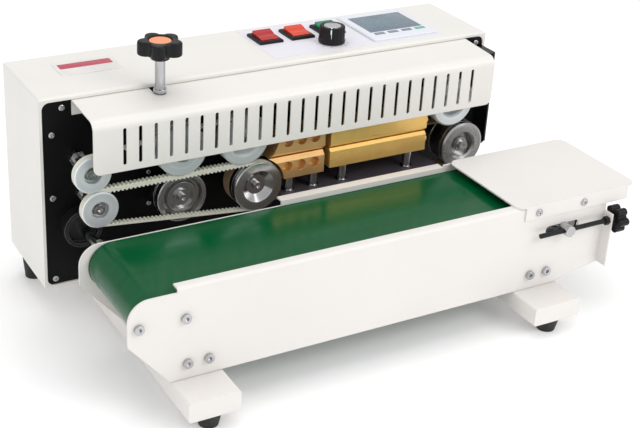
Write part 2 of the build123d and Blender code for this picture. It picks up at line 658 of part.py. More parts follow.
def circuit_board():
    board = block(345, 445, 12, 56, 252, 253.6)
    pot = rod_z(SPEED_X, SPEED_Y, 8.5, 253.6, 272) - rod_z(SPEED_X, SPEED_Y, 3 + RUNNING, 264, 280)
    heat_sink = block(410, 440, 16, 50, 253.6, 268)
    for i in range(4):
        heat_sink -= block(413 + 7 * i, 416 + 7 * i, 15, 51, 257, 269)
    capacitor = rod_z(360, 24, 6, 253.6, 270)
    return [board, pot, heat_sink, capacitor]


def name_plate():
    return block(49, 125, 57, 98, HOUSING_Z1, HOUSING_Z1 + 0.8)


# --- conveyor ------------------------------------------------------------------------------------

def panel_sheet(y0, y1, high):
    """Side panel with a rounded left end, cut lower corners and the slot for the tail axle."""
    low = PANEL_Z0
    points = [(PANEL_X0, 98), (55, low), (566, low), (PANEL_X1, 57), (PANEL_X1, high), (PANEL_X0, high)]
    face = polygon(points)
    face = fillet(face.vertices().sort_by_distance((PANEL_X0, high))[0], 24)
    return slab(face - slot_sketch(549.3, 588.7, ROLLER_Z, 5.3), y0, y1)


def front_panel():
    """Front side panel: rounded top edge bent inward, and a tab for the tension screw."""
    y0, y1 = FRONT_PANEL
    high = PANEL_TOP - 5
    lip = block(62, PANEL_X1, y0, y0 + 12, high, PANEL_TOP)
    lip = fillet(lip.edges().filter_by(Axis.X).group_by(Axis.Z)[-1].sort_by(Axis.Y)[0], 4.5)
    lip -= block(60, PANEL_X1 + 1, y1, y1 + 11, high - 1, PANEL_TOP - 2)
    tab = block(PANEL_X1 - SHEET, PANEL_X1, y0 - 15, y0, 57, 128)
    tab -= rod_x(TENSION_Y, ROLLER_Z, TENSION_R + 0.5, PANEL_X1 - 4, PANEL_X1 + 1)
    return panel_sheet(y0, y1, high) + lip + tab


def back_panel():
    """Back side panel: level with the belt at the left, with a ledge bent back beside the wheels."""
    y0, y1 = BACK_PANEL
    panel = panel_sheet(y0, y1, BACK_LOW)
    panel += block(BACK_STEPS[0], PANEL_X1, y0, y1, BACK_LOW - 1, BACK_LEDGE)
    panel += block(BACK_STEPS[0], BACK_STEPS[1], y0, y0 + 12, BACK_LEDGE - SHEET, BACK_LEDGE)
    panel += block(BACK_STEPS[1], PANEL_X1, y0, y1, BACK_LEDGE - 1, PANEL_TOP)
    return panel - rod_y(DRIVE_X, ROLLER_Z, 12, y0 - 1, y1 + 1)


def bed():
    z1 = ROLLER_Z + BELT_R - CONVEYOR_BELT_T - 0.1
    plate = block(90, 525, FRONT_PANEL[1], BACK_PANEL[0], z1 - SHEET, z1)
    for y0, y1 in ((FRONT_PANEL[1], FRONT_PANEL[1] + SHEET), (BACK_PANEL[0] - SHEET, BACK_PANEL[0])):
        plate += block(90, 525, y0, y1, z1 - 18, z1)
    return plate


def roller_bearing(y0, y1):
    """Bearing plate with two ears for the drive roller's journal."""
    ears = [(DRIVE_X - 26.5, ROLLER_Z), (DRIVE_X + 26.5, ROLLER_Z)]
    sketch = loop_sketch(*ears, 7, 7) + Pos(DRIVE_X, ROLLER_Z) * Circle(15)
    return slab(sketch, y0, y1) - rod_y(DRIVE_X, ROLLER_Z, AXLE_R + RUNNING, y0 - 1, y1 + 1)


def drive_roller():
    roller = rod_y(DRIVE_X, ROLLER_Z, ROLLER_R, BELT_Y[0] + 1, BELT_Y[1] - 1)
    roller += rod_y(DRIVE_X, ROLLER_Z, AXLE_R, FRONT_PANEL[1] + 0.3, BELT_Y[0] + 1)
    return roller + rod_y(DRIVE_X, ROLLER_Z, AXLE_R, BELT_Y[1] - 1, -78)


def drive_shaft():
    """Shaft from the chain to the roller's journal, with its coupling sleeve and set screws."""
    shaft = rod_y(DRIVE_X, ROLLER_Z, AXLE_R, -78, CHAIN_LANE_FAR[1] + 2)
    sleeve = rod_y(DRIVE_X, ROLLER_Z, 11, -93, -62) - rod_y(DRIVE_X, ROLLER_Z, AXLE_R, -95, -60)
    wheel = sprocket((DRIVE_X, ROLLER_Z), CONVEYOR_TEETH, CHAIN_LANE_FAR, AXLE_R)
    return [shaft, sleeve, wheel]


def tail_roller():
    roller = rod_y(TAIL_X, ROLLER_Z, ROLLER_R, BELT_Y[0] + 1, BELT_Y[1] - 1)
    return roller - rod_y(TAIL_X, ROLLER_Z, TAIL_AXLE_R + RUNNING, BELT_Y[0] - 1, BELT_Y[1] + 1)


def tail_axle():
    """Fixed axle with a cross-drilled boss in front of the panel and a nut behind the back one."""
    axle = rod_y(TAIL_X, ROLLER_Z, TAIL_AXLE_R, -253, BACK_PANEL[1] + 7)
    axle += rod_y(TAIL_X, ROLLER_Z, 7, -253, FRONT_PANEL[0] - 0.4)
    axle += slab(Pos(TAIL_X, ROLLER_Z) * RegularPolygon(8.5, 6), BACK_PANEL[1] + 0.4, BACK_PANEL[1] + 5)
    return axle - rod_x(TENSION_Y, ROLLER_Z, TENSION_R + RUNNING, TAIL_X - 9, TAIL_X + 9)


def tension_screw():
    rod = rod_x(TENSION_Y, ROLLER_Z, TENSION_R, 529, 650)
    nut = Pos(627, TENSION_Y, ROLLER_Z) * extrude(Plane.YZ * RegularPolygon(5.5, 6), 5.5)
    nut -= rod_x(TENSION_Y, ROLLER_Z, TENSION_R, 620, 640)
    lobes = Circle(12)
    for i in range(6):
        lobes += Rot(0, 0, 60 * i) * Pos(12, 0) * Circle(5)
    knob = Pos(639, TENSION_Y, ROLLER_Z) * extrude(Plane.YZ * lobes, 14)
    knob = fillet(knob.faces().sort_by(Axis.X)[-1].edges(), 1.8)
    knob += rod_x(TENSION_Y, ROLLER_Z, 8, PANEL_X1 + 0.5, 639)
    knob -= rod_x(TENSION_Y, ROLLER_Z, TENSION_R, 630, 650)
    return [rod, nut, knob]


# --- table, beams, feet --------------------------------------------------------------------------

def feed_table():
    top = block(TABLE_X0, TABLE_X1, TABLE_Y0, TABLE_Y1, PANEL_TOP, PANEL_TOP + TABLE_T)
    top = fillet(top.edges().filter_by(Axis.Z), 12)
    front = block(TABLE_X0 + 12, TABLE_X1 - 12, TABLE_Y0, FRONT_PANEL[0], 138, PANEL_TOP)
    back = block(TABLE_X0 + 12, TABLE_X1 - 12, BACK_PANEL[1], TABLE_Y1, 138, PANEL_TOP)
    return top + front + back


def beam(x, width):
    """Box-section beam, closed at the front and open at the back."""
    half = width / 2
    outer = block(x - half, x + half, BEAM_Y0, BEAM_Y1, BEAM_Z0, HOUSING_Z0)
    outer = fillet(outer.edges().filter_by(Axis.Y), 3)
    inner = block(x - half + BEAM_WALL, x + half - BEAM_WALL, BEAM_Y0 + BEAM_WALL, BEAM_Y1 + 1,
                  BEAM_Z0 + BEAM_WALL, HOUSING_Z0 - BEAM_WALL)
    return outer - inner


def beam_bracket(x, panel, inward):
    """Angle piece that bolts a side panel to a beam."""
    y0, y1 = sorted((panel, panel + inward * 3))
    foot0, foot1 = sorted((panel, panel + inward * 24))
    shape = block(x - 24, x + 24, y0, y1, PANEL_Z0, 74)
    return shape + block(x - 24, x + 24, foot0, foot1, HOUSING_Z0, HOUSING_Z0 + 3)


def tapered_foot(x, y, height):
    foot = Pos(x, y, height / 2) * Cone(11, 15, height)
    return foot


# --- fasteners -----------------------------------------------------------------------------------

def machine_screws():
    screws = []
    for x, z in ((27.3, 268.4), (14.5, 237), (13.6, 157.8), (13.7, 52), (596, 268.4), (596, 52)):
        screws.append(pan_screw(x, z, PLATE_Y0))
    for x, z in ((132.9, 169.3), (132.9, 128.1), (205, 128.1)):
        screws.append(pan_screw(x, z, PLATE_Y0, r=3.2, height=2.2))
    for x in (528, 596):
        screws.append(pan_screw(x, 147, TABLE_Y0, r=4.5))
        screws.append(pan_screw(x, 147, TABLE_Y1, r=4.5, facing=1))
    for x in (20, 305, 590):
        for z in (52, 272):
            screws.append(pan_screw(x, z, COVER_Y1, r=3.2, height=1.9, facing=1))
    return screws


def panel_bolts():
    bolts = []
    for x in (DRIVE_X - 26.5, DRIVE_X + 26.5):
        bolts.append(cap_screw((x, ROLLER_Z), FRONT_PANEL[0], head_r=5.5, height=4))
    for beam_x in BEAM_XS:
        for x in (beam_x - 12.5, beam_x + 12.5):
            bolts.append(cap_screw((x, 62), FRONT_PANEL[0], head_r=5.5, height=4))
    return bolts


# --- drive ----------------------------------------------------------------------------------------

def gearbox():
    box = block(104, 196, 46, 112, 54, 134)
    box = fillet(box.edges().filter_by(Axis.Y), 6)
    box += rod_y(*MOTOR_OUT, 18, 40, 46)
    box += block(110, 190, 52, 106, HOUSING_Z0 + SHEET, 54)
    return box - rod_y(*MOTOR_OUT, SHAFT_R + RUNNING, 35, 70)


def drive_motor():
    motor = rod_x(79, 94, 32, 196, 312) + rod_x(79, 94, 34, 208, 224)
    motor += rod_x(79, 94, 28, 312, 318)
    motor += block(222, 298, 50, 108, HOUSING_Z0 + SHEET, 64)
    motor += block(236, 284, 66, 92, 124, 140)
    return motor


def output_sprockets():
    shaft = rod_y(*MOTOR_OUT, SHAFT_R, CHAIN_LANE_NEAR[0] - 2, 69)
    near = sprocket(MOTOR_OUT, MOTOR_TEETH, CHAIN_LANE_NEAR, SHAFT_R)
    far = sprocket(MOTOR_OUT, MOTOR_TEETH, CHAIN_LANE_FAR, SHAFT_R)
    return [shaft, near, far]


def power_inlet():
    inlet = block(66, 106, COVER_Y1, HOUSING_D, 66, 94)
    inlet = fillet(inlet.edges().filter_by(Axis.Y), 3)
    inlet += block(73, 99, 96, COVER_Y1, 70.5, 89.5)
    inlet -= block(76, 96, 104, HOUSING_D + 1, 73.5, 86.5)
    for x, z in ((81, 81), (86, 78), (91, 81)):
        inlet += block(x - 1, x + 1, 103, 120, z - 2, z + 2)
    return inlet


# --- nodes ----------------------------------------------------------------------------------------

def write_housing():
    save("housing_shell", housing_shell())
    save("base_plate", base_plate())
    save("bottom_plate", bottom_plate())
    save("rear_cover", rear_cover())
    save("guard_cover", guard_cover())
    save("end_bracket", end_bracket())
    save("name_plate", name_plate())
    save("power_inlet", power_inlet())


def write_wheels():
    press_r, press_low, press_up = gear_pair(PRESS_LOW, PRESS_UP)
    emboss_r, emboss_low, emboss_up = gear_pair(EMBOSS_LOW, EMBOSS_UP)
    chains = [(PRESS_TEETH, CHAIN_LANE_NEAR), (EMBOSS_TEETH, CHAIN_LANE_FAR)]
    save("lower_press_wheel", press_wheel(PRESS_LOW))
    save("upper_press_wheel", press_wheel(PRESS_UP))
    save("lower_press_shaft", *driven_shaft(PRESS_LOW, -47, press_r, press_low, chains))
    save("upper_press_shaft", *driven_shaft(PRESS_UP, -47, press_r, press_up, []))
    low_shaft = driven_shaft(EMBOSS_LOW, -EMBOSS_HUB, emboss_r, emboss_low, chains[1:])
    up_shaft = driven_shaft(EMBOSS_UP, -EMBOSS_HUB, emboss_r, emboss_up, [])
    save("lower_emboss_wheel", emboss_wheel(EMBOSS_LOW), *low_shaft)
    save("upper_emboss_wheel", emboss_wheel(EMBOSS_UP), emboss_flange(EMBOSS_UP), *up_shaft)
    save("lower_guide_pulley", guide_pulley(GUIDE_LOW))
    save("upper_guide_pulley", guide_pulley(GUIDE_UP))
    save("lower_seal_pulley", seal_pulley(RIGHT_LOW))
    save("upper_seal_pulley", seal_pulley(RIGHT_UP))
    bearings = [bearing(c) for c in (PRESS_LOW, PRESS_UP, EMBOSS_LOW, EMBOSS_UP)]
    bearings.append(roller_bearing(FRONT_PANEL[1], FRONT_PANEL[1] + 4))
    bearings.append(roller_bearing(BACK_PANEL[1], BACK_PANEL[1] + 4))
    save("shaft_bearings", *bearings, drive_housing())
    axles = []
    for centre, front in ((GUIDE_LOW, -47), (GUIDE_UP, -47), (RIGHT_LOW, -50), (RIGHT_UP, -50)):
        axles += idler_axle(centre, front)
    save("idler_axles", *axles)


def write_belts():
    low = toothed_band(GUIDE_LOW, PRESS_LOW, GUIDE_R, PRESS_R, *GUIDE_LANE)
    up = toothed_band(GUIDE_UP, PRESS_UP, GUIDE_R, PRESS_R, *GUIDE_LANE)
    save("guide_belts", low, up)
    low = band(PRESS_LOW, RIGHT_LOW, PRESS_R, RIGHT_R, BELT_T, *SEAL_LANE)
    up = band(PRESS_UP, RIGHT_UP, PRESS_R, RIGHT_R, BELT_T, *SEAL_LANE)
    save("sealing_belts", low, up)


def write_blocks():
    low_cool = SEAL_Z - BLOCK_GAP - COOL_H
    low_heat = SEAL_Z - BLOCK_GAP - HEAT_H
    save("lower_cooling_block", with_post_bores(cooling_block(-1), COOL_POSTS, low_cool))
    save("lower_heating_block", with_post_bores(heating_block(-1), HEAT_POSTS, low_heat), *heaters(-1))
    save("upper_cooling_block", cooling_block(1))
    save("upper_heating_block", heating_block(1), *heaters(1))
    save("block_bracket", block_bracket())
    save("block_posts", *guide_posts(), *block_standoffs())


def write_controls():
    save("pressure_bracket", pressure_bracket())
    save("pressure_knob", *pressure_knob())
    save("pressure_screw", *pressure_screw())
    save("controller_case", controller_case())
    save("controller_window", controller_window())
    for name, x in zip(KEY_NAMES, KEY_XS):
        save(name, key(x))
    save("switch_bodies", *[switch_body(x) for x in SWITCH_XS])
    for name, x in zip(SWITCH_NAMES, SWITCH_XS):
        save(name, rocker(x))
    save("speed_knob", speed_knob())
    save("circuit_board", *circuit_board())


def write_conveyor():
    save("conveyor_front_panel", front_panel())
    save("conveyor_back_panel", back_panel())
    save("conveyor_bed", bed())
    axes = ((DRIVE_X, ROLLER_Z), (TAIL_X, ROLLER_Z))
    save("conveyor_belt", band(*axes, BELT_R, BELT_R, CONVEYOR_BELT_T, *BELT_Y))
    save("drive_roller", drive_roller())
    save("drive_shaft", *drive_shaft())
    save("tail_roller", tail_roller())
    save("tail_axle", tail_axle())
    save("tension_screw", *tension_screw())
    save("feed_table", feed_table())


def write_base():
    beams = [beam(x, w) for x, w in zip(BEAM_XS, BEAM_WS)]
    for x in BEAM_XS:
        beams.append(beam_bracket(x, FRONT_PANEL[1], 1))
        beams.append(beam_bracket(x, BACK_PANEL[0], -1))
    save("cross_beams", *beams)
    feet = [tapered_foot(x, BEAM_Y0 + 16, BEAM_Z0) for x in BEAM_XS]
    feet += [tapered_foot(x, 106, HOUSING_Z0) for x in (21, HOUSING_L - 21)]
    save("rubber_feet", *feet)
    save("machine_screws", *machine_screws(), *panel_bolts())


def write_drive():
    drive_end = (DRIVE_X, ROLLER_Z)
    save("gearbox", gearbox())
    save("drive_motor", drive_motor())
    save("output_sprockets", *output_sprockets())
    save("drive_chains",
         chain(MOTOR_OUT, MOTOR_TEETH, PRESS_LOW, PRESS_TEETH, CHAIN_LANE_NEAR),
         chain(PRESS_LOW, EMBOSS_TEETH, EMBOSS_LOW, EMBOSS_TEETH, CHAIN_LANE_FAR),
         chain(MOTOR_OUT, MOTOR_TEETH, drive_end, CONVEYOR_TEETH, CHAIN_LANE_FAR))


os.makedirs("parts", exist_ok=True)
write_housing()
write_wheels()
write_belts()
write_blocks()
write_controls()
write_conveyor()
write_base()
write_drive()
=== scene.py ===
import json
import math

import bmesh
import bpy
from mathutils import Matrix, Vector

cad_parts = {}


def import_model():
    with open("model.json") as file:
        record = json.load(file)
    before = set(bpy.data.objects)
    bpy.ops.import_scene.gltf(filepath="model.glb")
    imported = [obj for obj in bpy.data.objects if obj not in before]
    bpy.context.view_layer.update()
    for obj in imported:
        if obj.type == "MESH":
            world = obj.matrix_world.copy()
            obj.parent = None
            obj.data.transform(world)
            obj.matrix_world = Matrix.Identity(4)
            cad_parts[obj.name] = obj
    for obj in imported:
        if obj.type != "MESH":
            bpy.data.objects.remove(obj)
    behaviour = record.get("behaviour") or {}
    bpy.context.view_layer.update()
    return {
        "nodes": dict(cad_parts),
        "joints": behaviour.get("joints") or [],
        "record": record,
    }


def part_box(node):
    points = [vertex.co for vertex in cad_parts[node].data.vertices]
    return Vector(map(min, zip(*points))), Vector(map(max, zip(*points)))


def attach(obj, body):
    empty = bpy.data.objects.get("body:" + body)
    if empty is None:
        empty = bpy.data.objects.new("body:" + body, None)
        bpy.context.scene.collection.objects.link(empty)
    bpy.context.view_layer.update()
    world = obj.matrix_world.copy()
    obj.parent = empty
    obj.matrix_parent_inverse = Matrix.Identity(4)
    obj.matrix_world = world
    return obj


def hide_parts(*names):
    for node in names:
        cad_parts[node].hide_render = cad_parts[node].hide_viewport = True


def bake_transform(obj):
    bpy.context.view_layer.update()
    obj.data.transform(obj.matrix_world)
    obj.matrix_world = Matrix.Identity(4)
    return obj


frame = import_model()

nodes = frame["nodes"]
MM = 0.001

# --- places read from the frame ---------------------------------------------------------------


def joint_place(name):
    """The point that a joint turns about."""
    for joint in frame["joints"]:
        if joint["name"] == name:
            return Vector(joint["pos_m"])
    raise KeyError(name)


# --- node and material helpers ------------------------------------------------------------------


def node(tree, kind, inputs=None, **settings):
    """Add one shader node; an input is a plain value or another node's output socket."""
    made = tree.nodes.new("ShaderNode" + kind)
    for key, value in settings.items():
        setattr(made, key, value)
    for key, value in (inputs or {}).items():
        if isinstance(value, bpy.types.NodeSocket):
            tree.links.new(value, made.inputs[key])
        else:
            made.inputs[key].default_value = value
    return made


def start(name, **sockets):
    """A material and its tree; keywords set the Principled shader's sockets, _ standing for a space."""
    material = bpy.data.materials.new(name)
    material.use_nodes = True
    shader = material.node_tree.nodes["Principled BSDF"]
    for key, value in sockets.items():
        shader.inputs[key.replace("_", " ")].default_value = value
    return material, material.node_tree


def colour(r, g, b):
    """Linear colour of an sRGB one given from 0 to 1."""
    channels = [c / 12.92 if c <= 0.04045 else ((c + 0.055) / 1.055) ** 2.4 for c in (r, g, b)]
    return (*channels, 1.0)


def object_coords(tree, scale=(1, 1, 1), location=(0, 0, 0)):
    coords = node(tree, "TexCoord").outputs["Object"]
    settings = {"Vector": coords, "Scale": scale, "Location": location}
    return node(tree, "Mapping", settings).outputs["Vector"]


def noise(tree, vector, scale, detail=3.0, rough=0.5):
    settings = {"Vector": vector, "Scale": scale, "Detail": detail, "Roughness": rough}
    return node(tree, "TexNoise", settings).outputs["Fac"]


def spread(tree, value, low, high, source=(0.3, 0.7)):
    """Map a texture's middle range onto low to high."""
    settings = {"Value": value, "From Min": source[0], "From Max": source[1], "To Min": low, "To Max": high}
    return node(tree, "MapRange", settings).outputs["Result"]


def blended(tree, fac, first, second):
    settings = {"Factor": fac, "A": first, "B": second}
    made = node(tree, "Mix", data_type="RGBA")
    for key, value in settings.items():
        socket = [s for s in made.inputs if s.name == key and s.type in ("RGBA", "VALUE")]
        socket = socket[0] if key == "Factor" else [s for s in socket if s.type == "RGBA"][0]
        if isinstance(value, bpy.types.NodeSocket):
            tree.links.new(value, socket)
        else:
            socket.default_value = value
    return [s for s in made.outputs if s.type == "RGBA"][0]


def edges(tree, radius):
    """Rounded normal, and a mask that is high on sharp edges."""
    rounded = node(tree, "Bevel", {"Radius": radius}, samples=4).outputs["Normal"]
    flat = node(tree, "NewGeometry").outputs["Normal"]
    facing = node(tree, "VectorMath", {0: rounded, 1: flat}, operation="DOT_PRODUCT").outputs["Value"]
    return rounded, spread(tree, facing, 1.0, 0.0, (0.8, 0.995))


def bump(tree, height, distance, strength=1.0, normal=None):
    inputs = {"Height": height, "Distance": distance, "Strength": strength}
    if normal is not None:
        inputs["Normal"] = normal
    return node(tree, "Bump", inputs).outputs["Normal"]


def shade(tree, name, value):
    tree.links.new(value, tree.nodes["Principled BSDF"].inputs[name])


# --- materials ----------------------------------------------------------------------------------


def powder_coat(name, tone, wear_and_highlight, roughness=0.42, edge=0.7 * MM, gloss=0.5):
    """Satin powder coat: orange peel, faint mottling, and patchy lighter edges that are partly wear, partly a
    painted highlight.
    """
    material, tree = start(name, Coat_Weight=0.3 * gloss, Coat_Roughness=0.3, Specular_IOR_Level=gloss)
    place = object_coords(tree)
    mottle = noise(tree, place, 9.0, 4.0)
    peel = noise(tree, place, 520.0, 2.0)
    smears = noise(tree, object_coords(tree, (6, 6, 22)), 1.6, 5.0, 0.6)
    rounded, rim = edges(tree, edge)
    dull = tuple(0.965 * c for c in tone[:3]) + (1.0,)
    base = blended(tree, spread(tree, mottle, 0.0, 1.0), tone, dull)
    # Sharp edges are lightened in patches towards the fourth colour: partly edge wear, partly a painted edge
    # highlight.
    edge_wear_and_highlight = node(tree, "Math", {0: rim, 1: spread(tree, smears, 0.15, 0.75)}, operation="MULTIPLY")
    shade(tree, "Base Color", blended(tree, edge_wear_and_highlight.outputs["Value"], base, wear_and_highlight))
    shade(tree, "Roughness", spread(tree, smears, roughness - 0.06, roughness + 0.08))
    shade(tree, "Normal", bump(tree, peel, 0.05 * MM, 0.5, rounded))
    return material


def moulded(name, tone, roughness=0.38, grain=900.0, depth=0.04 * MM, **sockets):
    """Moulded plastic or rubber with a fine grain, handling marks in its roughness, and a painted highlight on its
    edges.
    """
    material, tree = start(name, **sockets)
    place = object_coords(tree)
    fine = noise(tree, place, grain, 3.0)
    handled = noise(tree, place, 60.0, 5.0, 0.65)
    rounded, rim = edges(tree, 0.5 * MM)
    # A lighter tone painted on all sharp edges as a highlight.
    edge_highlight_tone = tuple(min(1.0, 1.25 * c + 0.012) for c in tone[:3]) + (1.0,)
    shade(tree, "Base Color", blended(tree, rim, tone, edge_highlight_tone))
    shade(tree, "Roughness", spread(tree, handled, roughness - 0.06, roughness + 0.1))
    shade(tree, "Normal", bump(tree, fine, depth, 0.6, rounded))
    return material


def turned(name, tone, centre, roughness=0.24, metallic=1.0, depth=0.03 * MM, fine=2600.0):
    """Lathe-turned metal: concentric tool marks about an axis along Y."""
    material, tree = start(name, Metallic=metallic, Anisotropic=0.55)
    flat = object_coords(tree, (1, 0, 1), (-centre[0], 0, -centre[2]))
    reach = node(tree, "VectorMath", {0: flat}, operation="LENGTH").outputs["Value"]
    marks = node(tree, "TexNoise", {"W": reach, "Scale": fine, "Detail": 2.0}, noise_dimensions="1D")
    bands = node(tree, "TexNoise", {"W": reach, "Scale": 260.0, "Detail": 3.0}, noise_dimensions="1D")
    stains = noise(tree, object_coords(tree), 45.0, 5.0, 0.6)
    rounded, rim = edges(tree, 0.5 * MM)
    dark = tuple(0.72 * c for c in tone[:3]) + (1.0,)
    # bright is a lighter tone painted on all sharp edges as a highlight.
    bright = tuple(min(1.0, 1.12 * c) for c in tone[:3]) + (1.0,)
    base = blended(tree, spread(tree, bands.outputs["Fac"], 0.0, 0.6), tone, dark)
    shade(tree, "Base Color", blended(tree, rim, base, bright))
    shade(tree, "Roughness", spread(tree, stains, roughness - 0.05, roughness + 0.12))
    shade(tree, "Normal", bump(tree, marks.outputs["Fac"], depth, 0.7, rounded))
    shade(tree, "Tangent", node(tree, "Tangent", direction_type="RADIAL", axis="Y").outputs["Tangent"])
    return material


def machined(name, tone, roughness=0.3, stretch=(4, 260, 260), depth=0.03 * MM, metallic=1.0, **sockets):
    """Drawn or milled metal: fine lines along one direction, and faint staining."""
    material, tree = start(name, Metallic=metallic, **sockets)
    lines = noise(tree, object_coords(tree, stretch), 6.0, 4.0, 0.6)
    stains = noise(tree, object_coords(tree), 28.0, 5.0, 0.6)
    rounded, rim = edges(tree, 0.6 * MM)
    dark = tuple(0.8 * c for c in tone[:3]) + (1.0,)
    # bright is a lighter tone painted on all sharp edges as a highlight.
    bright = tuple(min(1.0, 1.15 * c + 0.02) for c in tone[:3]) + (1.0,)
    base = blended(tree, spread(tree, stains, 0.0, 0.7), tone, dark)
    shade(tree, "Base Color", blended(tree, rim, base, bright))
    shade(tree, "Roughness", spread(tree, lines, roughness - 0.08, roughness + 0.12))
    shade(tree, "Normal", bump(tree, lines, depth, 0.6, rounded))
    return material


def woven(name, tone, pitch, roughness=0.45, sheen=0.0, soil=0.85):
    """Coated cloth: crossing threads along X and Y, with patchy soiling."""
    material, tree = start(name, Sheen_Weight=sheen)
    turn = 2 * math.pi / pitch / 20
    place = object_coords(tree, (turn, turn, turn))
    warp = node(tree, "TexWave", {"Vector": place, "Scale": 1.0}, bands_direction="X").outputs["Fac"]
    weft = node(tree, "TexWave", {"Vector": place, "Scale": 1.0}, bands_direction="Y").outputs["Fac"]
    threads = node(tree, "Math", {0: warp, 1: weft}, operation="MULTIPLY").outputs["Value"]
    patches = noise(tree, object_coords(tree), 30.0, 5.0, 0.6)
    soiled = tuple(soil * c for c in tone[:3]) + (1.0,)
    shade(tree, "Base Color", blended(tree, spread(tree, patches, 0.0, 1.0), tone, soiled))
    shade(tree, "Roughness", spread(tree, patches, roughness - 0.08, roughness + 0.1))
    shade(tree, "Normal", bump(tree, threads, 0.05 * MM, 0.5))
    return material


def belt_film(name, tone):
    """Glossy conveyor film: soft lengthwise smears and a faint calendered waviness."""
    material, tree = start(name, Specular_IOR_Level=0.22)
    smears = noise(tree, object_coords(tree, (3, 26, 3)), 2.2, 5.0, 0.6)
    waves = noise(tree, object_coords(tree, (1, 1, 1)), 24.0, 2.0)
    fine = noise(tree, object_coords(tree), 900.0, 2.0)
    rich = tuple(0.8 * c for c in tone[:3]) + (1.0,)
    shade(tree, "Base Color", blended(tree, spread(tree, smears, 0.0, 1.0), tone, rich))
    shade(tree, "Roughness", spread(tree, smears, 0.14, 0.26))
    shade(tree, "Normal", bump(tree, waves, 0.6 * MM, 0.12, bump(tree, fine, 0.02 * MM, 0.4)))
    return material


def display_film(name, tone, glow):
    """Liquid-crystal glass: soft cloudy patches of a lighter tone under a glossy face."""
    material, tree = start(name, Coat_Weight=0.35, Coat_Roughness=0.03, Specular_IOR_Level=0.4)
    cloud = noise(tree, object_coords(tree), 22.0, 2.0)
    fine = noise(tree, object_coords(tree), 1500.0, 2.0)
    shade(tree, "Base Color", blended(tree, spread(tree, cloud, 0.0, 1.0), tone, glow))
    shade(tree, "Roughness", spread(tree, fine, 0.22, 0.34))
    return material


IVORY = colour(0.90, 0.89, 0.87)
WHITE = colour(0.90, 0.885, 0.87)
# The near-white tone that the ivory and white coats take on their edges is a painted edge highlight.
EDGE_HIGHLIGHT_WHITE = colour(0.98, 0.975, 0.96)
BLACK = colour(0.06, 0.06, 0.068)
STEEL = colour(0.74, 0.74, 0.74)
ZINC = colour(0.88, 0.90, 0.91)
GOLD = colour(0.98, 0.81, 0.48)
TAN = colour(0.90, 0.73, 0.50)
GREEN = colour(0.0, 0.33, 0.18)

looks = {
    "ivory_paint": powder_coat("ivory_powder_coat", IVORY, EDGE_HIGHLIGHT_WHITE),
    "white_paint": powder_coat("white_powder_coat", WHITE, EDGE_HIGHLIGHT_WHITE, 0.38),
    "black_paint": powder_coat("black_powder_coat", BLACK, colour(0.3, 0.3, 0.31), 0.4),
    "chrome_steel": machined("bright_plating", colour(0.74, 0.74, 0.75), 0.14, (40, 40, 40), 0.01 * MM),
    "guide_rubber": moulded("cream_polyurethane", colour(0.86, 0.86, 0.80), 0.5, 500.0),
    "ptfe_cloth": woven("coated_glass_cloth", colour(0.62, 0.53, 0.42), 1.0 * MM, 0.4, 0.0, 0.8),
    "black_rubber": moulded("black_rubber", colour(0.09, 0.09, 0.09), 0.6, 500.0, 0.08 * MM),
    "black_plastic": moulded("black_plastic", colour(0.05, 0.05, 0.06), 0.32, Specular_IOR_Level=0.28),
    "knob_plastic": moulded("black_knob_plastic", colour(0.045, 0.045, 0.052), 0.36, Specular_IOR_Level=0.28),
    "controller_plastic": moulded("pale_case_plastic", colour(0.87, 0.88, 0.91), 0.35, 700.0),
    "key_plastic": moulded("grey_key_plastic", colour(0.50, 0.54, 0.60), 0.4),
    "green_key_plastic": moulded("green_key_plastic", colour(0.42, 0.70, 0.60), 0.4),
    "red_rocker_plastic": moulded("red_clear_plastic", colour(0.68, 0.02, 0.04), 0.2, 300.0, 0.02 * MM,
                                  Coat_Weight=0.2, Coat_Roughness=0.05),
    "orange_rocker_plastic": moulded("orange_clear_plastic", colour(0.84, 0.22, 0.03), 0.2, 300.0, 0.02 * MM,
                                     Coat_Weight=0.2, Coat_Roughness=0.05),
    "green_rocker_plastic": moulded("green_clear_plastic", colour(0.02, 0.50, 0.36), 0.2, 300.0, 0.02 * MM,
                                    Coat_Weight=0.2, Coat_Roughness=0.05),
    "roller_aluminium": machined("turned_aluminium", colour(0.80, 0.81, 0.82), 0.3, (60, 4, 60)),
    "gear_case": machined("cast_aluminium", colour(0.66, 0.68, 0.70), 0.5, (30, 30, 30), 0.1 * MM),
    "chain_steel": machined("oiled_steel", colour(0.45, 0.44, 0.43), 0.35, (60, 60, 60)),
    "zinc_steel": machined("zinc_plate", ZINC, 0.3, (5, 120, 5)),
    "turned_steel": machined("ground_steel", STEEL, 0.2, (120, 5, 120)),
    "board_laminate": moulded("board_laminate", colour(0.10, 0.38, 0.20), 0.4),
    "label_film": machined("label_film", colour(0.93, 0.92, 0.91), 0.4, (8, 200, 8), 0.01 * MM, 0.3),
    "display_lens": display_film("display_glass", colour(0.33, 0.40, 0.46), colour(0.42, 0.49, 0.55)),
    "conveyor_pvc": belt_film("green_conveyor_film", GREEN),
}
